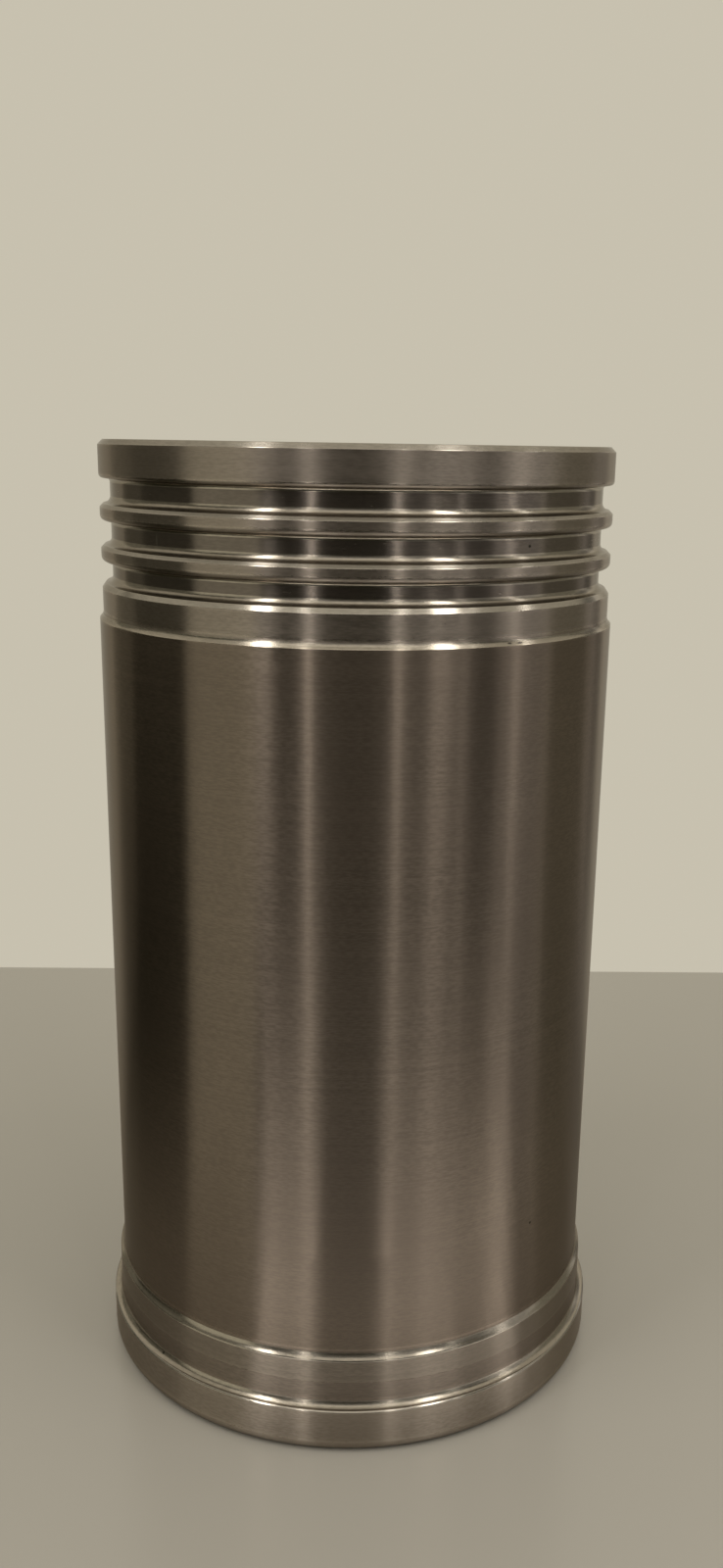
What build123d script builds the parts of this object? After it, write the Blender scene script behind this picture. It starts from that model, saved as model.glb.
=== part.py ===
from build123d import *
from math import sqrt
import os

# Wet cylinder liner: one iron sleeve, turned all over, symmetric about +Z. It stands on its flange
# end (z = 0) with the seal end up. All sizes are in millimetres.

# Sleeve
overall_length = 287.2
bore_radius = 68.58
barrel_wall = 7.62
bore_chamfer = 1.0

# Flange end, stacked up from the end face
flange_height = 14.4
flange_step = 3.8  # over the barrel
flange_round = 4.0  # outer edge of the end face
flange_chamfer = 0.4  # outer edge of the seat
seat_width = 0.7  # flat of the seat that hangs in the block
seat_fillet = 3.8
filler_seat_height = 5.25
filler_seat_drop = 0.15  # under the locating band
band_height = 6.9
band_step = 1.4  # over the barrel
band_run_out = 6.2

# Seal end, stacked down from the rim's face
rim_height = 10.55
rim_chamfer = 1.43
rim_round = 1.05  # lower edge of the rim
groove_1_width = 7.05
lip_1_height = 4.65
groove_2_width = 6.9
lip_2_height = 4.55
groove_3_width = 6.25
land_height = 7.95
land_drop = 1.1  # rim, lips and land under the barrel
land_run_out = 2.85
groove_depth = 3.1
groove_fillet = 1.2  # upper corner of each groove floor
lip_round = 1.35  # lower edge of each lip
crest_chamfer = 1.0  # radial, upper edge of each lip and of the land
lip_chamfer_height = 1.0
land_chamfer_height = 1.4

# Radii
barrel_radius = bore_radius + barrel_wall
flange_radius = barrel_radius + flange_step
band_radius = barrel_radius + band_step
filler_seat_radius = band_radius - filler_seat_drop
land_radius = barrel_radius - land_drop
floor_radius = land_radius - groove_depth
seat_inner_radius = flange_radius - flange_chamfer - seat_width

# Heights at the flange end; a run-out rises as its arc does over the step it covers
seat_rise = sqrt(seat_fillet**2 - (seat_fillet + filler_seat_radius - seat_inner_radius) ** 2)
filler_seat_bottom = flange_height + seat_rise
filler_seat_top = filler_seat_bottom + filler_seat_height
band_top = filler_seat_top + band_height
barrel_bottom = band_top + sqrt(band_run_out**2 - (band_run_out - band_step) ** 2)

# Heights at the seal end
groove_1_top = overall_length - rim_height
lip_1_top = groove_1_top - groove_1_width
groove_2_top = lip_1_top - lip_1_height
lip_2_top = groove_2_top - groove_2_width
groove_3_top = lip_2_top - lip_2_height
land_top = groove_3_top - groove_3_width
land_bottom = land_top - land_height
barrel_top = land_bottom - sqrt(land_run_out**2 - (land_run_out - land_drop) ** 2)

# Each groove: upper wall, round above it, lower wall, height of the chamfer under it, end of that land
grooves = (
    (groove_1_top, rim_round, lip_1_top, lip_chamfer_height, groove_2_top + lip_round),
    (groove_2_top, lip_round, lip_2_top, lip_chamfer_height, groove_3_top + lip_round),
    (groove_3_top, lip_round, land_top, land_chamfer_height, land_bottom),
)

with BuildPart() as cylinder_liner:
    with BuildSketch(Plane.XZ):
        with BuildLine():
            # Bore, end face, flange and seat
            Polyline(
                (land_radius, overall_length),
                (bore_radius, overall_length),
                (bore_radius, 0),
                (flange_radius, 0),
                (flange_radius, flange_height),
                (seat_inner_radius, flange_height),
            )
            RadiusArc(
                (seat_inner_radius, flange_height),
                (filler_seat_radius, filler_seat_bottom),
                seat_fillet,
            )
            # Filler-band seat, locating band, run-out and barrel
            Polyline(
                (filler_seat_radius, filler_seat_bottom),
                (filler_seat_radius, filler_seat_top),
                (band_radius, filler_seat_top),
                (band_radius, band_top),
            )
            RadiusArc((band_radius, band_top), (barrel_radius, barrel_bottom), band_run_out)
            Line((barrel_radius, barrel_bottom), (barrel_radius, barrel_top))
            RadiusArc((barrel_radius, barrel_top), (land_radius, land_bottom), land_run_out)
            # Rim, then each groove with the land under it
            Line((land_radius, overall_length), (land_radius, groove_1_top + rim_round))
            for upper_wall, edge_round, lower_wall, chamfer_height, land_end in grooves:
                # The upper fillet is limited to 0.95 of its wall; the lower one runs up to the crest
                upper_fillet = min(groove_fillet, 0.95 * (groove_depth - edge_round))
                lower_fillet = groove_depth - crest_chamfer
                CenterArc((land_radius - edge_round, upper_wall + edge_round), edge_round, 0, -90)
                Line((land_radius - edge_round, upper_wall), (floor_radius + upper_fillet, upper_wall))
                CenterArc((floor_radius + upper_fillet, upper_wall - upper_fillet), upper_fillet, 90, 90)
                Line((floor_radius, upper_wall - upper_fillet), (floor_radius, lower_wall + lower_fillet))
                CenterArc((floor_radius + lower_fillet, lower_wall + lower_fillet), lower_fillet, 180, 90)
                Polyline(
                    (land_radius - crest_chamfer, lower_wall),
                    (land_radius, lower_wall - chamfer_height),
                    (land_radius, land_end),
                )
        make_face()
    revolve(axis=Axis.Z)

    # Outer edges of the flange, outer edge of the rim, and both ends of the bore
    end_face = cylinder_liner.faces().sort_by(Axis.Z)[0]
    fillet(end_face.edges().sort_by(SortBy.RADIUS)[-1], flange_round)
    widest_edges = cylinder_liner.edges().filter_by(GeomType.CIRCLE).group_by(SortBy.RADIUS)[-1]
    chamfer(widest_edges.sort_by(Axis.Z)[-1], flange_chamfer)
    rim_face = cylinder_liner.faces().sort_by(Axis.Z)[-1]
    chamfer(rim_face.edges().sort_by(SortBy.RADIUS)[-1], rim_chamfer)
    bore_face = cylinder_liner.faces().sort_by(SortBy.AREA)[-1]
    chamfer(bore_face.edges().filter_by(GeomType.CIRCLE), bore_chamfer)

cylinder_liner.part.label = "cylinder_liner"

os.makedirs("parts", exist_ok=True)
export_step(cylinder_liner.part, "parts/cylinder_liner.step")
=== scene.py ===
"""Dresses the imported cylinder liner: its turned surfaces, their finishes, and a plain studio.

The liner is one turned sleeve. Its section is drawn here as runs of straight lines and arcs, each with
its own finish, and carried round the axis. Sizes are in millimetres; the mesh is written in metres.
"""

import logging
import math
from dataclasses import dataclass, field
from enum import Enum

import bpy
import numpy as np
from mathutils import Matrix, Vector

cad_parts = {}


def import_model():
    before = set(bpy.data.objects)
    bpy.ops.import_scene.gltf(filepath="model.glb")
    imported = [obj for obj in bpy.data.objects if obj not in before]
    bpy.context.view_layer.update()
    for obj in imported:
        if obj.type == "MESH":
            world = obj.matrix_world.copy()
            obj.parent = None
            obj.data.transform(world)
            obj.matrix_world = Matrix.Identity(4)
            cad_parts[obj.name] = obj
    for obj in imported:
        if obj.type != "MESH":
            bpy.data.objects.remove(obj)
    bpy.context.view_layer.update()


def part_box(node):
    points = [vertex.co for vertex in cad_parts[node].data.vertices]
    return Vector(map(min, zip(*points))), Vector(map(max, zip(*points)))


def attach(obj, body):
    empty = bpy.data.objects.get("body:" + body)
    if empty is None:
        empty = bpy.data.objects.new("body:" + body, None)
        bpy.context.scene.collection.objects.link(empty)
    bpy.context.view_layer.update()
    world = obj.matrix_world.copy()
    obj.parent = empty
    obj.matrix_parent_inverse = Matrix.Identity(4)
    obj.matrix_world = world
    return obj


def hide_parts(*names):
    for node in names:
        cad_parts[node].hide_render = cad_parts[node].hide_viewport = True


LOG = logging.getLogger("liner")
NODE = "cylinder_liner"
BODY = "root"
METRES = 0.001  # one millimetre, in metres

Colour = tuple[float, float, float]
Point = tuple[float, float]


# ---------- Shader arithmetic ----------


class Wire:
    """A node's output that takes part in ordinary arithmetic; each operation adds a Math node."""

    def __init__(self, graph: "Graph", socket: bpy.types.NodeSocket) -> None:
        """Wraps one output socket of a graph."""
        self.graph = graph
        self.socket = socket

    def __add__(self, other: "Value") -> "Wire":
        """self + other."""
        return self.graph.math("ADD", self, other)

    def __radd__(self, other: "Value") -> "Wire":
        """other + self."""
        return self.graph.math("ADD", other, self)

    def __sub__(self, other: "Value") -> "Wire":
        """self - other."""
        return self.graph.math("SUBTRACT", self, other)

    def __rsub__(self, other: "Value") -> "Wire":
        """other - self."""
        return self.graph.math("SUBTRACT", other, self)

    def __mul__(self, other: "Value") -> "Wire":
        """self * other."""
        return self.graph.math("MULTIPLY", self, other)

    def __rmul__(self, other: "Value") -> "Wire":
        """other * self."""
        return self.graph.math("MULTIPLY", other, self)

    def __pow__(self, other: "Value") -> "Wire":
        """self to the power other."""
        return self.graph.math("POWER", self, other)


Value = Wire | float | int


class Graph:
    """One node tree, with a method for any node and a few short forms of common ones."""

    def __init__(self, tree: bpy.types.NodeTree) -> None:
        """Empties the tree and keeps it."""
        tree.nodes.clear()
        self.tree = tree

    def node(
        self,
        kind: str,
        settings: dict[str, object] | None = None,
        inputs: dict[str | int, object] | None = None,
    ) -> bpy.types.Node:
        """Adds a node.

        Args:
            kind: the node's type, such as "ShaderNodeBump".
            settings: properties of the node, set before its sockets are read.
            inputs: a value or a Wire for each socket, by name or by number.

        Returns:
            The new node.
        """
        node = self.tree.nodes.new(kind)
        for name, value in (settings or {}).items():
            setattr(node, name, value)
        for key, value in (inputs or {}).items():
            socket = self._socket(node.inputs, key)
            if isinstance(value, Wire):
                self.tree.links.new(value.socket, socket)
            else:
                socket.default_value = value
        return node

    @staticmethod
    def _socket(sockets: bpy.types.bpy_prop_collection, key: str | int) -> bpy.types.NodeSocket:
        """Finds a socket.

        Args:
            sockets: a node's inputs or outputs.
            key: its number, or the name of one that is in use.

        Returns:
            The socket.
        """
        if isinstance(key, int):
            return sockets[key]
        return next(socket for socket in sockets if socket.enabled and socket.name == key)

    def out(self, node: bpy.types.Node, key: str | int = 0) -> Wire:
        """A node's output as a Wire."""
        return Wire(self, self._socket(node.outputs, key))

    def math(self, operation: str, *values: Value) -> Wire:
        """One Math node on one or two values."""
        return self.out(self.node("ShaderNodeMath", {"operation": operation}, dict(enumerate(values))))

    def smooth(self, value: Value, low: float, high: float) -> Wire:
        """A smooth S from 0 to 1.

        Args:
            value: what it follows.
            low: the value up to which it is 0.
            high: the value from which it is 1.

        Returns:
            The share.
        """
        settings = {"interpolation_type": "SMOOTHSTEP"}
        inputs = {"Value": value, "From Min": low, "From Max": high}
        return self.out(self.node("ShaderNodeMapRange", settings, inputs))

    def noise(self, place: Wire, scale: float, detail: float = 2.0, roughness: float = 0.5) -> Wire:
        """Fractal noise from 0 to 1 at a place."""
        inputs = {"Vector": place, "Scale": scale, "Detail": detail, "Roughness": roughness}
        return self.out(self.node("ShaderNodeTexNoise", {}, inputs), "Fac")

    def stretched(self, place: Wire, scale: Colour) -> Wire:
        """A place with each axis scaled by its own factor."""
        return self.out(self.node("ShaderNodeMapping", {}, {"Vector": place, "Scale": scale}))

    def blend(self, share: Value, first: Wire | Colour, second: Wire | Colour) -> Wire:
        """Mixes two colours.

        Args:
            share: how much of the second is taken, 0 to 1.
            first: one colour.
            second: the other.

        Returns:
            The mixed colour.
        """
        first = first if isinstance(first, Wire) else (*first, 1.0)
        second = second if isinstance(second, Wire) else (*second, 1.0)
        inputs = {"Factor": share, "A": first, "B": second}
        return self.out(self.node("ShaderNodeMix", {"data_type": "RGBA"}, inputs), "Result")


# ---------- Finishes ----------


class Surface(Enum):
    """The kinds of surface that the liner's section is turned to."""

    BARREL = "barrel"
    RIM = "rim"
    LAND = "land"
    BAND = "band"
    FLANGE = "flange"
    FILLER_SEAT = "filler_seat"
    GROOVE_FLOOR = "groove_floor"
    RADIUS = "radius"
    CHAMFER = "chamfer"
    FACE = "face"
    BORE = "bore"


@dataclass(frozen=True)
class Mark:
    """A small blemish: a pore, a nick or a scratch, as an oval on one kind of surface.

    Attributes:
        surface: the surface that it is on.
        azimuth: its side of the liner, in degrees from the front towards the right.
        height: its height, in millimetres.
        radius: its distance from the axis, in millimetres.
        wide: half its width round the liner, in millimetres.
        tall: half its height, in millimetres.
        colour: what is seen there.
    """

    surface: Surface
    azimuth: float
    height: float
    radius: float
    wide: float
    tall: float
    colour: Colour

    def cover(self, graph: Graph, place: Wire) -> Wire:
        """Where the mark lies.

        Args:
            graph: the material's nodes.
            place: Object coordinates.

        Returns:
            1 in the middle of the mark and 0 outside it.
        """
        side = math.radians(self.azimuth)
        centre = (self.radius * math.sin(side), -self.radius * math.cos(side), self.height)
        scale = [1 / (size * METRES) for size in (self.wide, self.wide, self.tall)]
        shift = [-part * METRES * factor for part, factor in zip(centre, scale)]
        inputs = {"Vector": place, "Location": shift, "Scale": scale}
        offset = graph.out(graph.node("ShaderNodeMapping", {}, inputs))
        length = graph.node("ShaderNodeVectorMath", {"operation": "LENGTH"}, {0: offset})
        return 1 - graph.smooth(graph.out(length, "Value"), MARK_CORE, 1.0)


MARK_CORE = 0.5  # share of a mark's size that it covers in full
MARK_SHARE = 0.85  # how far a mark hides the metal
PORE: Colour = (0.02, 0.018, 0.015)
BRIGHT: Colour = (0.62, 0.58, 0.52)
MARKS = (
    Mark(Surface.GROOVE_FLOOR, 38.9, 262.0, 72.0, 0.6, 0.5, PORE),
    Mark(Surface.GROOVE_FLOOR, -47.5, 261.6, 72.0, 0.3, 2.4, (0.34, 0.32, 0.28)),
    Mark(Surface.BARREL, 45.3, 61.8, 76.2, 0.6, 0.5, PORE),
    Mark(Surface.RADIUS, 32.0, 237.7, 75.6, 0.9, 0.3, PORE),
    Mark(Surface.RADIUS, 34.6, 237.6, 75.6, 1.2, 0.25, PORE),
    Mark(Surface.RADIUS, -47.8, 15.3, 78.0, 0.6, 0.6, PORE),
    Mark(Surface.CHAMFER, 39.7, 286.1, 74.6, 0.45, 0.4, BRIGHT),
)

RING_DRIFT = 8.0  # how fast the rings' noise changes round the axis, per metre
RING_SHARE = 0.35  # the rings' part in the turning lines; the grain has the rest
LINE_EDGES = (0.36, 0.64)  # noise at which a line is darkest, and at which it is lightest
GLITTER_RINGS = 0.4  # the rings' part in the glitter
PATCH_SCALE = 22.0  # how fast the patches change, per metre
PATCH_EDGES = (0.35, 0.7)  # noise at which a patch starts, and at which it is full
PATCH_SHARE = 0.6  # how far a patch takes the tint
WEAR_AND_HIGHLIGHT_SHARE = 0.6  # how far a worn edge takes its brighter colour, which is partly rubbed metal and partly a painted edge highlight
WEAR_AND_HIGHLIGHT_SHINE = 1.35  # that brighter colour, rubbed metal and painted highlight, over the metal's own
WEAR_POLISH = 0.2  # share of the roughness that a worn edge has lost
SHEEN_TURN = 0.25  # turns that lay the sheen across the rings
HONE_RISE = 1.3  # height between two of the hone's lines, in millimetres
HONE_COUNT = 155  # lines of each set that a circle round the bore crosses, for a slope of 25 degrees
HONE_WAVER = 9.0  # how far the lines wander, in radians of their sine
HONE_DRIFT = 150.0  # how fast they wander, per metre


@dataclass(frozen=True)
class TurnedFinish:
    """A surface cut on a lathe: fine rings round the axis and a sheen that spreads across them.

    Attributes:
        colour: the metal's reflection seen square on, set lighter or darker per surface as painted
            highlight and painted shade.
        tint: the colour it drifts to in patches.
        roughness: mean roughness.
        spread: how much further the sheen spreads across the rings than along them, 0 to 1.
        ring_pitch: distance between the widest rings, in millimetres; finer ones lie between them.
        ring_depth: depth of the rings, in millimetres.
        grain_length: length of the short dashes that the rings break up into, in millimetres.
        lining: how much lighter and darker the rings are than their mean, as a share.
        mottle: share of the roughness that drifts in patches.
        glitter: share of the roughness that changes with the grain and the rings.
        edge_tint: share of a clean metal's reflection that is left at grazing angles.
    """

    colour: Colour
    tint: Colour
    roughness: float
    spread: float
    ring_pitch: float = 0.8
    ring_depth: float = 0.003
    grain_length: float = 2.0
    lining: float = 0.13
    mottle: float = 0.12
    glitter: float = 0.5
    edge_tint: Colour = (0.62, 0.6, 0.57)

    def material(self, surface: Surface) -> bpy.types.Material:
        """Builds the finish's material.

        Args:
            surface: the surface it is for, which names it.

        Returns:
            The material, with its nodes.
        """
        material = bpy.data.materials.new(f"turned_{surface.value}")
        material.use_nodes = True
        graph = Graph(material.node_tree)
        place = graph.out(graph.node("ShaderNodeTexCoord"), "Object")
        rings = self.rings(graph, place, surface)
        grain = self.grain(graph, place)
        patches = graph.noise(place, PATCH_SCALE, detail=3.0)
        wear_and_highlight = graph.out(graph.node("ShaderNodeAttribute", {"attribute_name": "edge_wear_and_highlight"}), "Fac")
        lines = graph.smooth(RING_SHARE * rings + (1 - RING_SHARE) * grain, *LINE_EDGES)
        shares = (1 - self.lining, 1 + self.lining)
        dark, light = (tuple(share * part for part in self.colour) for share in shares)
        lined = graph.blend(lines, dark, light)
        soiled = graph.blend(PATCH_SHARE * graph.smooth(patches, *PATCH_EDGES), lined, self.tint)
        # Edges take a brighter colour: partly rubbed metal, partly a painted highlight where an edge
        # would catch the light.
        shine = tuple(min(1.0, WEAR_AND_HIGHLIGHT_SHINE * part) for part in self.colour)
        colour = graph.blend(WEAR_AND_HIGHLIGHT_SHARE * wear_and_highlight, soiled, shine)
        for mark in MARKS:
            if mark.surface is surface:
                colour = graph.blend(MARK_SHARE * mark.cover(graph, place), colour, mark.colour)
        sparkle = (1 - GLITTER_RINGS) * grain + GLITTER_RINGS * rings - 0.5
        lustre = 1 + (patches - 0.5) * self.mottle + sparkle * self.glitter
        roughness = lustre * self.roughness * (1 - WEAR_POLISH * wear_and_highlight)
        depth = self.ring_depth * METRES
        height = 0.5 * rings + grain
        bump = graph.node("ShaderNodeBump", {}, {"Strength": 1.0, "Distance": depth, "Height": height})
        inputs = {
            "Base Color": colour,
            "Metallic": 1.0,
            "Roughness": roughness,
            "Anisotropic": self.spread,
            "Anisotropic Rotation": SHEEN_TURN,
            "Specular Tint": (*self.edge_tint, 1.0),
            "Normal": graph.out(bump),
        }
        shader = graph.node("ShaderNodeBsdfPrincipled", {}, inputs)
        graph.node("ShaderNodeOutputMaterial", {}, {"Surface": graph.out(shader)})
        return material

    def rings(self, graph: Graph, place: Wire, surface: Surface) -> Wire:
        """The lathe's rings: noise that changes fast along the axis and hardly at all round it.

        On an end face the rings are circles, so there the radius takes the height's place. The bore
        has a hone's cross-hatch in their stead.

        Args:
            graph: the material's nodes.
            place: Object coordinates.
            surface: the surface that the material is for.

        Returns:
            The rings, 0 to 1.
        """
        if surface is Surface.BORE:
            return self.honing(graph, place)
        per_metre = 1 / (self.ring_pitch * METRES)
        if surface is Surface.FACE:
            parts = graph.node("ShaderNodeSeparateXYZ", {}, {"Vector": place})
            across, along = graph.out(parts, "X"), graph.out(parts, "Y")
            radius = (across * across + along * along) ** 0.5
            inputs = {"X": across * RING_DRIFT, "Y": along * RING_DRIFT, "Z": radius * per_metre}
            turned = graph.out(graph.node("ShaderNodeCombineXYZ", {}, inputs))
        else:
            turned = graph.stretched(place, (RING_DRIFT, RING_DRIFT, per_metre))
        return graph.noise(turned, 1.0, detail=4.0, roughness=0.65)

    def honing(self, graph: Graph, place: Wire) -> Wire:
        """Two sets of lines that climb the bore at the same slope, one each way.

        A set is the sine of count x azimuth + 2 pi x height / rise. The count is whole, so the lines
        close on themselves.

        Args:
            graph: the material's nodes.
            place: Object coordinates.

        Returns:
            The lines, 0 to 1.
        """
        parts = graph.node("ShaderNodeSeparateXYZ", {}, {"Vector": place})
        azimuth = graph.math("ARCTAN2", graph.out(parts, "Y"), graph.out(parts, "X"))
        climb = graph.out(parts, "Z") * (2 * math.pi / (HONE_RISE * METRES))
        waver = HONE_WAVER * graph.noise(place, HONE_DRIFT)
        rising = graph.math("SINE", azimuth * HONE_COUNT + climb + waver)
        falling = graph.math("SINE", azimuth * HONE_COUNT - climb + waver)
        return 0.5 + 0.25 * (rising + falling)

    def grain(self, graph: Graph, place: Wire) -> Wire:
        """Short dashes along the rings, where the tool tore or rubbed the metal.

        Args:
            graph: the material's nodes.
            place: Object coordinates.

        Returns:
            The dashes, 0 to 1.
        """
        along = 1 / (self.grain_length * METRES)
        across = 2 / (self.ring_pitch * METRES)
        return graph.noise(graph.stretched(place, (along, along, across)), 1.0, detail=2.0)


# One iron throughout; its colour is set per surface for how bright each looks: lighter on the radii and
# chamfers, a painted highlight, and darker on the groove floors and the faces, a painted shade in the
# grooves and on the seat under the band.
FINISHES_WITH_PAINTED_LIGHT: dict[Surface, TurnedFinish] = {
    Surface.BARREL: TurnedFinish((0.205, 0.168, 0.136), (0.188, 0.152, 0.124), 0.315, 1.0),
    Surface.RIM: TurnedFinish((0.285, 0.246, 0.21), (0.265, 0.225, 0.192), 0.34, 0.75),
    Surface.LAND: TurnedFinish((0.285, 0.246, 0.21), (0.265, 0.225, 0.192), 0.31, 0.92),
    Surface.BAND: TurnedFinish((0.275, 0.237, 0.2), (0.254, 0.217, 0.182), 0.34, 1.0),
    Surface.FLANGE: TurnedFinish((0.34, 0.294, 0.25), (0.315, 0.27, 0.228), 0.34, 1.0),
    Surface.FILLER_SEAT: TurnedFinish((0.252, 0.213, 0.18), (0.233, 0.193, 0.163), 0.34, 1.0),
    # groove floors: a darker copy of the iron, a painted shade in the recess between the lips
    Surface.GROOVE_FLOOR: TurnedFinish((0.185, 0.16, 0.138), (0.165, 0.14, 0.12), 0.25, 0.95),
    # radii and chamfers: a lighter copy of the iron, a painted highlight
    Surface.RADIUS: TurnedFinish(
        (0.38, 0.342, 0.29), (0.345, 0.31, 0.262), 0.22, 0.65, ring_depth=0.001, glitter=0.2
    ),
    Surface.CHAMFER: TurnedFinish(
        (0.38, 0.352, 0.312), (0.35, 0.32, 0.284), 0.24, 0.8, ring_depth=0.001, glitter=0.2
    ),
    # faces: a darker copy of the iron, a painted shade on the seat under the band
    Surface.FACE: TurnedFinish((0.26, 0.236, 0.206), (0.24, 0.216, 0.187), 0.3, 0.9),
    Surface.BORE: TurnedFinish((0.42, 0.395, 0.36), (0.385, 0.36, 0.325), 0.36, 0.3, lining=0.08),
}


# ---------- The section ----------


EDGE_BREAK = 0.12  # width of the worn edge on each side of a corner, in millimetres
EDGE_POINTS = (0.0, EDGE_BREAK, 0.35, 0.9)  # where a straight run has points, from each of its ends
ARC_STEP = 9.0  # degrees between an arc's points, at most
SHEER = 16.0  # degrees that a hollow turns before its finish changes from its upper neighbour's to the radii's, whose lighter colour is a painted highlight
BROKEN_FROM = 5.0  # degrees that a corner turns before its edge is softened
WEAR_AND_HIGHLIGHT_WIDTH = 0.3  # distance from a corner at which its wear and painted highlight have faded to a third, in millimetres


@dataclass
class Run:
    """A stretch of the section with one finish: its points, and the way it faces at each.

    Attributes:
        points: radius and height of each point, in millimetres.
        normals: unit vectors that point out of the metal, one for each point.
        surface: the finish.
    """

    points: np.ndarray
    normals: np.ndarray
    surface: Surface


def straight(start: Point, end: Point, surface: Surface) -> Run:
    """A straight run, with close points near both ends for the shading of its edges.

    A point lies at start + t (end - start); t is 0, 1 and the shares at a few set distances from
    each end. The run faces left of its direction, which is out of the metal all round the section.

    Args:
        start: its first point.
        end: its last point.
        surface: its finish.

    Returns:
        The run.
    """
    first, last = np.array(start), np.array(end)
    length = float(np.hypot(*(last - first)))
    near = np.array(EDGE_POINTS)
    near = near[near < 0.45 * length]
    shares = np.unique(np.concatenate([near, length - near])) / length
    points = first + shares[:, None] * (last - first)
    along = (last - first) / length
    normals = np.tile([-along[1], along[0]], (len(points), 1))
    return Run(points, normals, surface)


def curved(centre: Point, radius: float, start: float, end: float, surface: Surface) -> Run:
    """An arc from one angle to another, in degrees from the +radius axis.

    A point is centre + radius (cos a, sin a). Running clockwise the metal is inside the arc and it
    faces away from its centre; running anticlockwise it is a hollow and faces its centre.

    Args:
        centre: the arc's centre.
        radius: its radius.
        start: angle of its first point.
        end: angle of its last point.
        surface: its finish.

    Returns:
        The run.
    """
    steps = max(5, int(abs(end - start) / ARC_STEP) + 1)
    angles = np.radians(np.linspace(start, end, steps))
    out = np.stack([np.cos(angles), np.sin(angles)], axis=1)
    facing = 1.0 if end < start else -1.0
    return Run(np.array(centre) + radius * out, facing * out, surface)


def run_out(centre: Point, radius: float, reach: float, above: Surface) -> list[Run]:
    """A hollow that leaves an upright wall: first with the wall's finish, then with its own, the radii's
    lighter colour that paints a highlight.

    Args:
        centre: the arc's centre.
        radius: its radius.
        reach: degrees that it turns.
        above: finish of the wall over it.

    Returns:
        Two arcs.
    """
    first = curved(centre, radius, 180, 180 + SHEER, above)
    return [first, curved(centre, radius, 180 + SHEER, 180 + reach, Surface.RADIUS)]


@dataclass
class FlangeEnd:
    """The end that hangs in the block: flange, seat, filler-band seat and locating band.

    Attributes:
        height: top of the seat over the end face.
        step: flange over the barrel, in radius.
        lower_round: radius of the end face's outer edge.
        upper_chamfer: chamfer at the seat's outer edge.
        seat_fillet: radius between the seat and the filler-band seat.
        seat_reach: degrees that it turns before the flat of the seat.
        filler_height: height of the filler-band seat over the seat.
        filler_drop: filler-band seat under the band, in radius.
        band_height: height of the locating band.
        band_step: band over the barrel, in radius.
        run_out: radius of the hollow between the barrel and the band.
        run_out_edge: radius of the band's upper edge.
        run_out_lean: degrees that the cone between them faces upward.
    """

    height: float = 14.4
    step: float = 3.8
    lower_round: float = 4.0
    upper_chamfer: float = 0.4
    seat_fillet: float = 2.5
    seat_reach: float = 80.0
    filler_height: float = 8.24
    filler_drop: float = 0.15
    band_height: float = 6.9
    band_step: float = 1.4
    run_out: float = 3.4
    run_out_edge: float = 0.8
    run_out_lean: float = 42.0

    def runs(self, flange_radius: float, barrel_top: float) -> list[Run]:
        """The section from the barrel down to the end face's outer edge.

        Args:
            flange_radius: outside radius of the flange.
            barrel_top: height at which the barrel ends.

        Returns:
            The runs, from the top down.
        """
        barrel = flange_radius - self.step
        band = barrel + self.band_step
        filler = band - self.filler_drop
        seat_centre = filler + self.seat_fillet
        reach = math.radians(self.seat_reach)
        seat_inner = seat_centre - self.seat_fillet * math.cos(reach)
        seat_outer = flange_radius - self.upper_chamfer
        filler_low = self.height + self.seat_fillet * math.sin(reach)
        filler_high = self.height + self.filler_height
        band_high = filler_high + self.band_height
        lean = math.radians(self.run_out_lean)
        turned = (self.run_out + self.run_out_edge) * (1 - math.cos(lean))
        cone = (self.band_step - turned) / math.tan(lean)
        barrel_low = band_high + (self.run_out + self.run_out_edge) * math.sin(lean) + cone
        hollow = (barrel + self.run_out, barrel_low)
        edge = (band - self.run_out_edge, band_high)
        outward, upward = math.cos(lean), math.sin(lean)
        cone_top = (hollow[0] - self.run_out * outward, hollow[1] - self.run_out * upward)
        cone_foot = (edge[0] + self.run_out_edge * outward, edge[1] + self.run_out_edge * upward)
        chamfer_low = self.height - self.upper_chamfer
        round_centre = (flange_radius - self.lower_round, self.lower_round)
        return [
            straight((barrel, barrel_top), (barrel, barrel_low), Surface.BARREL),
            *run_out(hollow, self.run_out, self.run_out_lean, Surface.BARREL),
            straight(cone_top, cone_foot, Surface.RADIUS),
            curved(edge, self.run_out_edge, self.run_out_lean, 0, Surface.RADIUS),
            straight((band, band_high), (band, filler_high), Surface.BAND),
            straight((band, filler_high), (filler, filler_high), Surface.FILLER_SEAT),
            straight((filler, filler_high), (filler, filler_low), Surface.FILLER_SEAT),
            *run_out((seat_centre, filler_low), self.seat_fillet, self.seat_reach, Surface.FILLER_SEAT),
            straight((seat_inner, self.height), (seat_outer, self.height), Surface.FACE),
            straight((seat_outer, self.height), (flange_radius, chamfer_low), Surface.CHAMFER),
            straight((flange_radius, chamfer_low), (flange_radius, self.lower_round), Surface.FLANGE),
            curved(round_centre, self.lower_round, 0, -90, Surface.FLANGE),
        ]


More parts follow.
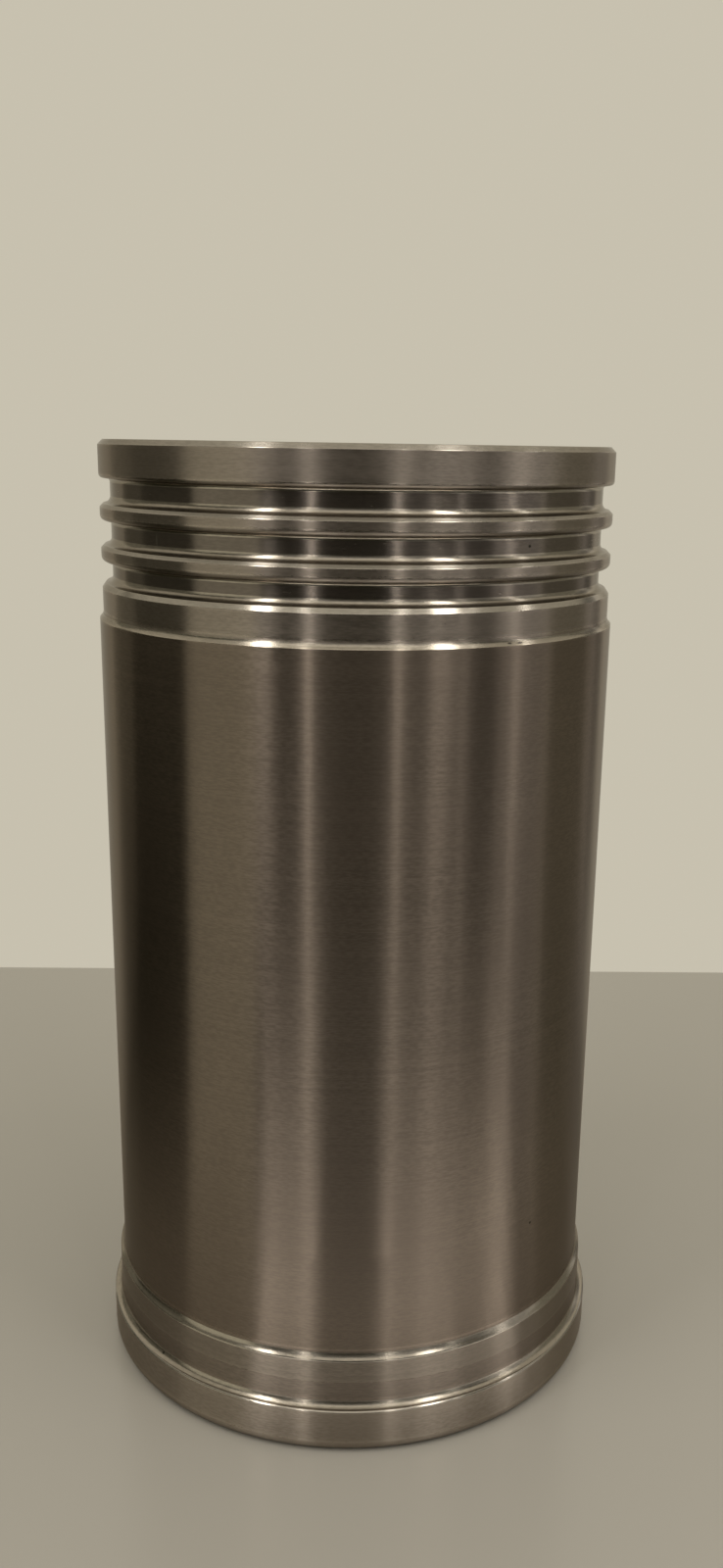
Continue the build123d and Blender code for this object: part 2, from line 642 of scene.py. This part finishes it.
@dataclass
class SealEnd:
    """The end with the grooves for seal rings: rim, three grooves, two lips and the land.

    Attributes:
        rim_height: height of the rim.
        rim_chamfer: chamfer at its top.
        rim_round: radius at its lower edge.
        widths: width of each groove, from the rim down.
        lips: height of each lip.
        land_height: height of the land under the last groove.
        land_drop: land under the barrel, in radius.
        run_out: radius between the land and the barrel.
        depth: depth of the grooves.
        fillet: upper corner of a groove's floor.
        lip_round: lower edge of a lip.
        crest: radial size of the chamfer under a groove.
        lip_chamfer: its height on a lip.
        land_chamfer: its height on the land.
    """

    rim_height: float = 10.55
    rim_chamfer: float = 1.43
    rim_round: float = 1.05
    widths: tuple[float, float, float] = (7.05, 6.9, 6.25)
    lips: tuple[float, float] = (4.65, 4.55)
    land_height: float = 7.95
    land_drop: float = 1.1
    run_out: float = 2.85
    depth: float = 3.1
    fillet: float = 1.2
    lip_round: float = 1.35
    crest: float = 1.0
    lip_chamfer: float = 1.0
    land_chamfer: float = 1.4

    def land_low(self, top: float) -> float:
        """Height of the land's lower end, under a rim whose face is at top."""
        return top - self.rim_height - sum(self.widths) - sum(self.lips) - self.land_height

    def run_out_angle(self) -> float:
        """Degrees that the run-out's arc turns before it meets the barrel."""
        return math.degrees(math.acos((self.run_out - self.land_drop) / self.run_out))

    def barrel_top(self, top: float) -> float:
        """Height of the edge where the run-out meets the barrel."""
        return self.land_low(top) - self.run_out * math.sin(math.radians(self.run_out_angle()))

    def runs(self, barrel: float, top: float) -> list[Run]:
        """The section from the rim's chamfer down to the barrel.

        Args:
            barrel: outside radius of the barrel.
            top: height of the rim's face.

        Returns:
            The runs, from the top down.
        """
        land = barrel - self.land_drop
        wall = top - self.rim_height
        edge_rounds = (self.rim_round, self.lip_round, self.lip_round)
        crests = (self.lip_chamfer, self.lip_chamfer, self.land_chamfer)
        land_heights = (*self.lips, self.land_height)
        runs = [
            straight((land - self.rim_chamfer, top), (land, top - self.rim_chamfer), Surface.CHAMFER),
            straight((land, top - self.rim_chamfer), (land, wall + self.rim_round), Surface.RIM),
        ]
        for index, width in enumerate(self.widths):
            last = index == len(self.widths) - 1
            foot = wall - width
            land_end = foot - land_heights[index] + (0.0 if last else self.lip_round)
            runs += self.groove(land, wall, foot, edge_rounds[index], crests[index])
            runs.append(straight((land, foot - crests[index]), (land, land_end), Surface.LAND))
            wall = foot - land_heights[index]
        run_centre = (land + self.run_out, self.land_low(top))
        runs += run_out(run_centre, self.run_out, self.run_out_angle(), Surface.LAND)
        return runs

    def groove(
        self, land: float, wall: float, foot: float, edge_round: float, crest_height: float
    ) -> list[Run]:
        """One groove, from the round over it to the chamfer under it.

        Args:
            land: radius of the lands beside it.
            wall: height of its upper wall.
            foot: height of its lower wall.
            edge_round: radius of the edge over it.
            crest_height: height of the chamfer under it.

        Returns:
            The runs, from the top down.
        """
        floor = land - self.depth
        lower = self.depth - self.crest
        return [
            curved((land - edge_round, wall + edge_round), edge_round, 0, -90, Surface.LAND),
            straight((land - edge_round, wall), (floor + self.fillet, wall), Surface.RADIUS),
            curved((floor + self.fillet, wall - self.fillet), self.fillet, 90, 180, Surface.RADIUS),
            straight((floor, wall - self.fillet), (floor, foot + lower), Surface.GROOVE_FLOOR),
            curved((floor + lower, foot + lower), lower, 180, 270, Surface.RADIUS),
            straight((land - self.crest, foot), (land, foot - crest_height), Surface.CHAMFER),
        ]


@dataclass
class Liner:
    """The whole sleeve: the bore, the rim's face and the end face, and the two turned ends.

    Attributes:
        wall: barrel over the bore, in radius.
        bore_chamfer: chamfer at each end of the bore.
        seal_end: the end with the grooves.
        flange_end: the end with the flange.
        divisions: faces round the axis.
    """

    wall: float = 7.62
    bore_chamfer: float = 1.0
    seal_end: SealEnd = field(default_factory=SealEnd)
    flange_end: FlangeEnd = field(default_factory=FlangeEnd)
    divisions: int = 256

    def section(self, flange_radius: float, length: float) -> list[Run]:
        """The closed section, clockwise from the rim's face.

        Args:
            flange_radius: outside radius of the flange.
            length: overall length.

        Returns:
            The runs, each ending where the next starts.
        """
        barrel = flange_radius - self.flange_end.step
        bore = barrel - self.wall
        bevel = self.bore_chamfer
        rim_outer = barrel - self.seal_end.land_drop - self.seal_end.rim_chamfer
        face_outer = flange_radius - self.flange_end.lower_round
        return [
            straight((bore + bevel, length), (rim_outer, length), Surface.FACE),
            *self.seal_end.runs(barrel, length),
            *self.flange_end.runs(flange_radius, self.seal_end.barrel_top(length)),
            straight((face_outer, 0.0), (bore + bevel, 0.0), Surface.FACE),
            straight((bore + bevel, 0.0), (bore, bevel), Surface.CHAMFER),
            straight((bore, bevel), (bore, length - bevel), Surface.BORE),
            straight((bore, length - bevel), (bore + bevel, length), Surface.CHAMFER),
        ]

    def build(self, flange_radius: float, length: float) -> bpy.types.Object:
        """Revolves the section and dresses it.

        Args:
            flange_radius: outside radius of the flange.
            length: overall length.

        Returns:
            The liner, with its materials.
        """
        runs = soften_corners(self.section(flange_radius, length))
        mesh = revolve(runs, self.divisions, "liner_turned")
        for surface in Surface:
            mesh.materials.append(FINISHES_WITH_PAINTED_LIGHT[surface].material(surface))
        liner = bpy.data.objects.new("liner_turned", mesh)
        bpy.context.scene.collection.objects.link(liner)
        return liner


def soften_corners(runs: list[Run]) -> list[Run]:
    """Lets the shading turn over each outer corner, as over an edge that was broken with a file.

    Where the section turns clockwise by more than a few degrees from one run to the next, both
    runs face the mean of their two directions at the corner itself.

    Args:
        runs: the closed section.

    Returns:
        The same runs.
    """
    for run, following in zip(runs, runs[1:] + runs[:1]):
        before, after = run.normals[-1], following.normals[0]
        turn = before[0] * after[1] - before[1] * after[0]
        if turn < -math.sin(math.radians(BROKEN_FROM)):
            mean = (before + after) / np.linalg.norm(before + after)
            run.normals[-1] = mean
            following.normals[0] = mean
    return runs


def corner_distance(runs: list[Run]) -> np.ndarray:
    """Measures how far each ring of points is from a softened corner.

    Args:
        runs: the closed section.

    Returns:
        The distance to the nearest one, in millimetres along the section.
    """
    lengths = np.concatenate([[0.0], *(np.hypot(*np.diff(run.points, axis=0).T) for run in runs)])
    along = np.cumsum(lengths)
    corners, ring = [], 0
    for run, previous in zip(runs, runs[-1:] + runs[:-1]):
        shared = np.allclose(run.normals[0], previous.normals[-1])
        turned = len(run.normals) > 1 and not np.allclose(run.normals[0], run.normals[1], atol=0.02)
        if shared and turned and run.surface is not Surface.RADIUS:
            corners.append(along[ring])
        ring += len(run.points) - 1
    gaps = np.abs(along[:-1, None] - np.array(corners)[None, :])
    return np.minimum(gaps, along[-1] - gaps).min(axis=1)


def revolve(runs: list[Run], divisions: int, name: str) -> bpy.types.Mesh:
    """Carries a closed section round the Z axis.

    A point of the surface is (r cos a, r sin a, z), with r and z from the section and a in equal
    steps. Its normal is (n_r cos a, n_r sin a, n_z), given to each face's corner from the run that
    the face belongs to, so arcs shade true and the edges between runs stay crisp.

    Args:
        runs: the section, each run ending where the next starts.
        divisions: faces round the axis.
        name: the mesh's name.

    Returns:
        The closed mesh, with a material number for each face and, as an attribute, its edge wear, which
        also lays a painted highlight along each edge.
    """
    rings = np.concatenate([run.points[:-1] for run in runs])
    count = len(rings)
    angles = np.arange(divisions) * (2 * math.pi / divisions)
    circle = np.stack([np.cos(angles), np.sin(angles)], axis=1)
    vertices = np.empty((count, divisions, 3))
    vertices[..., :2] = rings[:, None, :1] * circle[None]
    vertices[..., 2] = rings[:, 1:]

    here = np.arange(count)[:, None] * divisions
    beyond = np.roll(np.arange(count), -1)[:, None] * divisions
    left = np.arange(divisions)[None]
    right = np.roll(np.arange(divisions), -1)[None]
    quads = np.stack([here + left, beyond + left, beyond + right, here + right], axis=-1)

    first = np.concatenate([run.normals[:-1] for run in runs])
    second = np.concatenate([run.normals[1:] for run in runs])
    turned = np.roll(circle, -1, axis=0)
    corners = np.empty((count, divisions, 4, 3))
    ways = ((first, circle), (second, circle), (second, turned), (first, turned))
    for corner, (facing, way) in enumerate(ways):
        corners[:, :, corner, :2] = facing[:, None, :1] * way[None]
        corners[:, :, corner, 2] = facing[:, 1:]

    mesh = bpy.data.meshes.new(name)
    mesh.from_pydata((vertices.reshape(-1, 3) * METRES).tolist(), [], quads.reshape(-1, 4).tolist())
    order = {surface: number for number, surface in enumerate(Surface)}
    slots = np.concatenate([np.full(len(run.points) - 1, order[run.surface]) for run in runs])
    mesh.polygons.foreach_set("material_index", np.repeat(slots, divisions).astype(np.int32))
    mesh.polygons.foreach_set("use_smooth", np.ones(count * divisions, dtype=bool))
    mesh.normals_split_custom_set(corners.reshape(-1, 3).tolist())
    wear_and_highlight = np.exp(-corner_distance(runs) / WEAR_AND_HIGHLIGHT_WIDTH)
    attribute = mesh.attributes.new("edge_wear_and_highlight", "FLOAT", "POINT")
    attribute.data.foreach_set("value", np.repeat(wear_and_highlight, divisions).astype(np.float32))
    mesh.update()
    return mesh


# ---------- Studio ----------


def plain_material(name: str, colour: Colour, roughness: float, sheen: float = 0.5) -> bpy.types.Material:
    """Makes a material of one colour.

    Args:
        name: its name.
        colour: its colour.
        roughness: its roughness.
        sheen: its specular level.

    Returns:
        The material.
    """
    material = bpy.data.materials.new(name)
    material.use_nodes = True
    graph = Graph(material.node_tree)
    inputs = {"Base Color": (*colour, 1.0), "Roughness": roughness, "Specular IOR Level": sheen}
    shader = graph.node("ShaderNodeBsdfPrincipled", {}, inputs)
    graph.node("ShaderNodeOutputMaterial", {}, {"Surface": graph.out(shader)})
    return material


def stand(
    name: str, vertices: np.ndarray, faces: list[tuple[int, ...]], material: bpy.types.Material
) -> bpy.types.Object:
    """Puts a plain mesh into the scene as a part of the studio.

    Args:
        name: the object's name.
        vertices: in metres, one row a vertex.
        faces: the vertices' numbers.
        material: its only material.

    Returns:
        The object.
    """
    mesh = bpy.data.meshes.new(name)
    mesh.from_pydata(vertices.tolist(), [], faces)
    mesh.materials.append(material)
    piece = bpy.data.objects.new(name, mesh)
    bpy.context.scene.collection.objects.link(piece)
    return piece


@dataclass(frozen=True)
class Viewpoint:
    """The camera: as high as the rim, close, and looking down at the barrel.

    Attributes:
        distance: in front of the axis, in metres.
        height: over the table, in metres.
        yaw: degrees that it looks to the right of the axis.
        pitch: degrees that it looks down.
        roll: degrees that the picture leans clockwise.
        focal: focal length in pixels of the picture.
        middle: where its axis meets the picture, in pixels from the upper left.
        picture: the picture's width and height in pixels.
    """

    distance: float = 0.4418
    height: float = 0.2872
    yaw: float = 1.490
    pitch: float = 16.434
    roll: float = 0.942
    focal: float = 1474.7
    middle: tuple[float, float] = (398.2, 887.6)
    picture: tuple[int, int] = (738, 1600)

    def place(self) -> Vector:
        """Where the camera stands."""
        return Vector((0.0, -self.distance, self.height))

    def mirrored(self, azimuth: float, lean: float, height: float, radius: float) -> Vector:
        """The direction that a patch of the liner mirrors towards the camera.

        With n the patch's normal and v the direction to the camera, it is 2 (n.v) n - v.

        Args:
            azimuth: the patch's side, in degrees from the front towards the right.
            lean: degrees that the patch faces upward.
            height: its height, in metres.
            radius: its distance from the axis, in metres.

        Returns:
            A unit vector.
        """
        side, tip = math.radians(azimuth), math.radians(lean)
        outward = Vector((math.sin(side), -math.cos(side), 0.0))
        normal = math.cos(tip) * outward + Vector((0.0, 0.0, math.sin(tip)))
        view = (self.place() - radius * outward - Vector((0.0, 0.0, height))).normalized()
        return 2 * normal.dot(view) * normal - view

    def build(self) -> None:
        """Makes the camera and gives it to the scene."""
        width, height = self.picture
        camera = bpy.data.cameras.new("camera")
        camera.lens = camera.sensor_width * self.focal / max(self.picture)
        camera.shift_x = (width / 2 - self.middle[0]) / max(self.picture)
        camera.shift_y = (self.middle[1] - height / 2) / max(self.picture)
        camera.clip_start = 0.01
        yaw, pitch, roll = (math.radians(angle) for angle in (self.yaw, self.pitch, self.roll))
        right = Vector((math.cos(yaw), -math.sin(yaw), 0.0))
        level, fall = math.cos(pitch), math.sin(pitch)
        ahead = Vector((math.sin(yaw) * level, math.cos(yaw) * level, -fall))
        over = right.cross(ahead)
        across = math.cos(roll) * right + math.sin(roll) * over
        upward = math.cos(roll) * over - math.sin(roll) * right
        turn = Matrix((across, upward, -ahead)).transposed().to_4x4()
        piece = bpy.data.objects.new("camera", camera)
        piece.matrix_world = Matrix.Translation(self.place()) @ turn
        bpy.context.scene.collection.objects.link(piece)
        bpy.context.scene.camera = piece


LAMP_TARGET = 0.076  # radius of the patches that the lamps are placed by, in metres
LAMP_DISTANCE = 1.1  # from the liner's middle, in metres
LINER_MIDDLE = 0.15  # height that the lamps face, in metres
PANEL_HEIGHT = 0.14  # height of the patches that the panels are placed by, in metres
STREAK_ENDS = ((8.0, 0.14), (22.0, 0.20), (42.0, 0.247))  # lean and height of the streaks' patches
BENCH_GAP = 0.001  # height of the bench lamps over the table, in metres
LAMP_COLOUR: Colour = (1.0, 0.96, 0.89)
WARM_COLOUR: Colour = (1.0, 0.95, 0.76)


@dataclass(frozen=True)
class Streak:
    """A strip lamp, placed by the streak that it draws down the liner.

    Attributes:
        name: what it is called.
        azimuth: the streak's side of the liner, in degrees from the front towards the right.
        width: the lamp's width, in metres.
        lower: brightness of its lower half, where 1 is white.
        upper: brightness of its upper half.
    """

    name: str
    azimuth: float
    width: float
    lower: float
    upper: float

    def build(self, viewpoint: Viewpoint) -> None:
        """Makes the two halves, along the directions that the streak's line mirrors.

        Args:
            viewpoint: the camera that it is seen from.
        """
        foot, waist, head = (
            viewpoint.mirrored(self.azimuth, lean, height, LAMP_TARGET) for lean, height in STREAK_ENDS
        )
        if self.lower:
            hang(f"{self.name}_lower", foot, waist, self.width, self.lower)
        if self.upper:
            hang(f"{self.name}_upper", waist, head, self.width, self.upper)


@dataclass(frozen=True)
class Panel:
    """A wide soft lamp, placed by the stretch of the liner that mirrors it.

    Attributes:
        name: what it is called.
        start: where its reflection starts, in degrees from the front towards the right.
        end: where it ends.
        level: brightness, where 1 is white.
        low: elevation of its lower edge, in degrees.
        high: elevation of its upper edge.
        colour: colour of its light.
    """

    name: str
    start: float
    end: float
    level: float
    low: float = -30.0
    high: float = 24.0
    colour: Colour = LAMP_COLOUR

    def build(self, viewpoint: Viewpoint) -> None:
        """Makes the lamp, upright, between the two azimuths that its edges are mirrored from.

        Args:
            viewpoint: the camera that it is seen from.
        """
        sides = (self.start, self.end)
        edges = [viewpoint.mirrored(side, 0.0, PANEL_HEIGHT, LAMP_TARGET) for side in sides]
        first, last = (math.atan2(edge.x, -edge.y) for edge in edges)
        side = (first + last) / 2
        low, high = math.radians(self.low), math.radians(self.high)
        across = Vector((math.sin(side), -math.cos(side), 0.0))
        foot = math.cos(low) * across + Vector((0.0, 0.0, math.sin(low)))
        head = math.cos(high) * across + Vector((0.0, 0.0, math.sin(high)))
        width = 2 * LAMP_DISTANCE * math.tan(abs(last - first) / 2)
        hang(self.name, foot, head, width, self.level, self.colour)


@dataclass(frozen=True)
class Bounce:
    """Soft lamps that lie on the table before the liner and face up, as a bright bench would.

    Attributes:
        name: what they are called.
        start: where their reflection starts, in degrees from the front towards the right.
        end: where it ends.
        level: brightness, where 1 is white.
        heights: heights on the barrel where the reflection starts, changes width and ends.
    """

    name: str
    start: float
    end: float
    level: float
    heights: tuple[float, ...] = (0.03, 0.05, 0.075, 0.1)

    def landing(self, viewpoint: Viewpoint, azimuth: float, height: float) -> Vector:
        """Where the line that a patch of the barrel mirrors meets the table.

        Args:
            viewpoint: the camera that it is seen from.
            azimuth: the patch's side, in degrees from the front towards the right.
            height: its height, in metres.

        Returns:
            The place, a hair over the table.
        """
        side = math.radians(azimuth)
        patch = Vector((LAMP_TARGET * math.sin(side), -LAMP_TARGET * math.cos(side), height))
        way = viewpoint.mirrored(azimuth, 0.0, height, LAMP_TARGET)
        return patch - way * (height - BENCH_GAP) / way.z

    def build(self, viewpoint: Viewpoint) -> None:
        """Makes a lamp between each two heights, as wide as the reflection is on the table there.

        Args:
            viewpoint: the camera that it is seen from.
        """
        ends = (self.start, self.end)
        sides = [[self.landing(viewpoint, end, height) for height in self.heights] for end in ends]
        middles = [(first + last) / 2 for first, last in zip(*sides)]
        widths = [(last - first).length for first, last in zip(*sides)]
        for number in range(len(middles) - 1):
            width = (widths[number] + widths[number + 1]) / 2
            down = Vector((0.0, 0.0, -1.0))
            lamp(f"{self.name}_{number}", middles[number], middles[number + 1], down, width, self.level)


def lamp(
    name: str,
    low: Vector,
    high: Vector,
    back: Vector,
    width: float,
    level: float,
    colour: Colour = LAMP_COLOUR,
) -> None:
    """Makes a flat lamp between two points.

    Its power is pi times its area times its level, which gives its face that brightness.

    Args:
        name: the lamp's name.
        low: middle of its lower edge.
        high: middle of its upper edge.
        back: the way that its back faces; it is squared to the lamp's length.
        width: in metres.
        level: brightness of its face, where 1 is white.
        colour: colour of its light.
    """
    along = high - low
    upright = along.normalized()
    away = (back - upright * back.dot(upright)).normalized()
    data = bpy.data.lights.new(f"lamp_{name}", "AREA")
    data.shape = "RECTANGLE"
    data.size, data.size_y = width, along.length
    data.energy = math.pi * width * along.length * level
    data.color = colour
    turn = Matrix((upright.cross(away), upright, away)).transposed().to_4x4()
    piece = bpy.data.objects.new(data.name, data)
    piece.matrix_world = Matrix.Translation((low + high) / 2) @ turn
    piece.visible_camera = False
    bpy.context.scene.collection.objects.link(piece)


def hang(
    name: str, foot: Vector, head: Vector, width: float, level: float, colour: Colour = LAMP_COLOUR
) -> None:
    """Hangs a flat lamp so that it faces the liner's middle.

    Args:
        name: the lamp's name.
        foot: direction of its lower edge from the liner's middle.
        head: direction of its upper edge.
        width: in metres.
        level: brightness of its face, where 1 is white.
        colour: colour of its light.
    """
    middle = Vector((0.0, 0.0, LINER_MIDDLE))
    low, high = middle + LAMP_DISTANCE * foot, middle + LAMP_DISTANCE * head
    lamp(name, low, high, (low + high) / 2 - middle, width, level, colour)


@dataclass
class Studio:
    """A pale table top in a pale surround, a dark screen round the front, and lamps before it.

    Attributes:
        surround: colour of the surround.
        table_colour: colour of the table top.
        table_half: half the table's width, in metres.
        table_front: how far it comes forward of the axis.
        table_back: how far it goes behind the axis.
        screen_radius: distance of the dark screen from the axis, in metres.
        screen_from: azimuth at which it starts, in degrees.
        screen_to: azimuth at which it ends.
        screen_colour: its colour.
        screen_foot: height of its lower edge, in metres.
        screen_top: height of its upper edge in front.
        screen_side: height of that edge at the sides.
        screen_fall: azimuths between which the upper edge falls, in degrees.
        ceiling: brightness of the wide lamp high in front of the liner.
        overhead: brightness of the wide lamp over it.
        ceiling_rise: elevations of the three edges of those two, in degrees.
        ceiling_widths: their widths, in metres.
        panels: the wide lamps in front of the screen.
        streaks: the strip lamps in front of it.
        bounces: the lamps that lie on the table.
    """

    surround: Colour = (0.575, 0.533, 0.43)
    table_colour: Colour = (0.45, 0.43, 0.39)
    table_half: float = 0.215
    table_front: float = 0.16
    table_back: float = 0.33
    screen_radius: float = 1.25
    screen_from: float = -132.0
    screen_to: float = 139.0
    screen_colour: Colour = (0.045, 0.044, 0.028)
    screen_foot: float = -1.2
    screen_top: float = 1.2
    screen_side: float = 0.72
    screen_fall: tuple[float, float] = (60.0, 100.0)
    ceiling: float = 0.45
    overhead: float = 0.05
    ceiling_rise: tuple[float, float, float] = (30.0, 58.0, 105.0)
    ceiling_widths: tuple[float, float] = (0.9, 1.0)
    panels: tuple[Panel, ...] = (
        Panel("left_edge", -62.0, -52.0, 0.2, low=-14.0, colour=WARM_COLOUR),
        Panel("left_dim", -52.0, -36.0, 0.11, low=-2.0, colour=WARM_COLOUR),
        Panel("left", -34.0, -20.0, 0.62, colour=WARM_COLOUR),
        Panel("front", -18.0, 18.0, 0.12, low=14.0, high=30.0),
        Panel("right", 8.0, 30.0, 0.17, low=-14.0),
        Panel("right_side", 29.0, 41.0, 0.42),
        Panel("right_dim", 41.0, 56.0, 0.24, colour=WARM_COLOUR),
        Panel("right_far", 56.0, 68.0, 0.22),
    )
    streaks: tuple[Streak, ...] = (
        Streak("left_thin", -17.3, 0.03, 0.8, 0.0),
        Streak("left_outer", -16.5, 0.09, 0.0, 9.0),
        Streak("left_inner", -8.8, 0.02, 8.0, 4.6),
        Streak("right_inner", 7.8, 0.02, 6.0, 5.0),
        Streak("right_first", 14.8, 0.02, 1.1, 0.0),
        Streak("right_outer", 15.5, 0.12, 0.0, 6.5),
        Streak("right_second", 20.7, 0.015, 3.2, 3.0),
        Streak("right_side", 32.5, 0.025, 3.6, 6.0),
        Streak("right_far", 60.0, 0.10, 0.5, 0.4),
    )
    bounces: tuple[Bounce, ...] = (
        Bounce("bench_left", -20.0, -7.0, 1.25),
        Bounce("bench_left_streak", -9.5, -8.3, 3.0),
        Bounce("bench_middle", -7.0, 5.5, 0.38),
        Bounce("bench_right", 5.5, 23.0, 1.05),
        Bounce("bench_right_streak", 7.2, 8.4, 1.6),
        Bounce("bench_right_dim", 23.0, 31.0, 0.8),
        Bounce("bench_right_side", 31.0, 38.0, 1.1),
        Bounce("bench_side_streak", 32.5, 34.0, 1.2),
    )

    def build(self, viewpoint: Viewpoint) -> None:
        """Makes the surround, the table, the screen and the lamps, and the view settings.

        Args:
            viewpoint: the camera that the lamps are placed for.
        """
        scene = bpy.context.scene
        scene.view_settings.view_transform = "Standard"
        world = bpy.data.worlds.new("surround")
        scene.world = world
        world.use_nodes = True
        graph = Graph(world.node_tree)
        light = {"Color": (*self.surround, 1.0), "Strength": 1.0}
        background = graph.node("ShaderNodeBackground", {}, light)
        graph.node("ShaderNodeOutputWorld", {}, {"Surface": graph.out(background)})
        self.table()
        self.screen()
        for source in (*self.panels, *self.streaks, *self.bounces):
            source.build(viewpoint)
        rise = [math.radians(angle) for angle in self.ceiling_rise]
        front, above, back = (Vector((0.0, -math.cos(angle), math.sin(angle))) for angle in rise)
        hang("ceiling_front", front, above, self.ceiling_widths[0], self.ceiling)
        hang("ceiling_top", above, back, self.ceiling_widths[1], self.overhead)

    def table(self) -> None:
        """The table top, a rectangle with the liner standing towards its front."""
        right, front, back = self.table_half, -self.table_front, self.table_back
        outline = ((-right, front), (right, front), (right, back), (-right, back))
        corners = np.array([(*corner, 0.0) for corner in outline])
        material = plain_material("pale_table", self.table_colour, 0.25)
        stand("table", corners, [(0, 1, 2, 3)], material)

    def screen(self) -> None:
        """The dark screen: part of an upright cylinder.

        Its upper edge is level in front and falls in a smooth S to a lower height at the sides.
        """
        steps = 48
        angles = np.radians(np.linspace(self.screen_from, self.screen_to, steps + 1))
        ring = self.screen_radius * np.stack([np.sin(angles), -np.cos(angles)], axis=1)
        low = np.column_stack([ring, np.full(steps + 1, self.screen_foot)])
        falls, fallen = self.screen_fall
        aside = np.clip((np.abs(np.degrees(angles)) - falls) / (fallen - falls), 0.0, 1.0)
        fall = aside * aside * (3 - 2 * aside)
        high = np.column_stack([ring, self.screen_top + fall * (self.screen_side - self.screen_top)])
        faces = [(i, i + 1, i + steps + 2, i + steps + 1) for i in range(steps)]
        material = plain_material("dark_screen", self.screen_colour, 0.9, 0.0)
        screen = stand("screen", np.concatenate([low, high]), faces, material)
        screen.visible_camera = False


def main() -> None:
    """Loads the frame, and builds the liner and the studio."""
    logging.basicConfig(level=logging.INFO, format="%(name)s: %(message)s")
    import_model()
    low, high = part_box(NODE)
    flange_radius = min(high[0] - low[0], high[1] - low[1]) / 2 / METRES
    length = (high[2] - low[2]) / METRES
    liner = Liner().build(flange_radius, length)
    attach(liner, BODY)
    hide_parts(NODE)
    faces = len(liner.data.polygons)
    LOG.info("%s: %d faces, radius %.2f mm, length %.2f mm", liner.name, faces, flange_radius, length)
    viewpoint = Viewpoint()
    Studio().build(viewpoint)
    viewpoint.build()


if __name__ == "__main__":
    main()
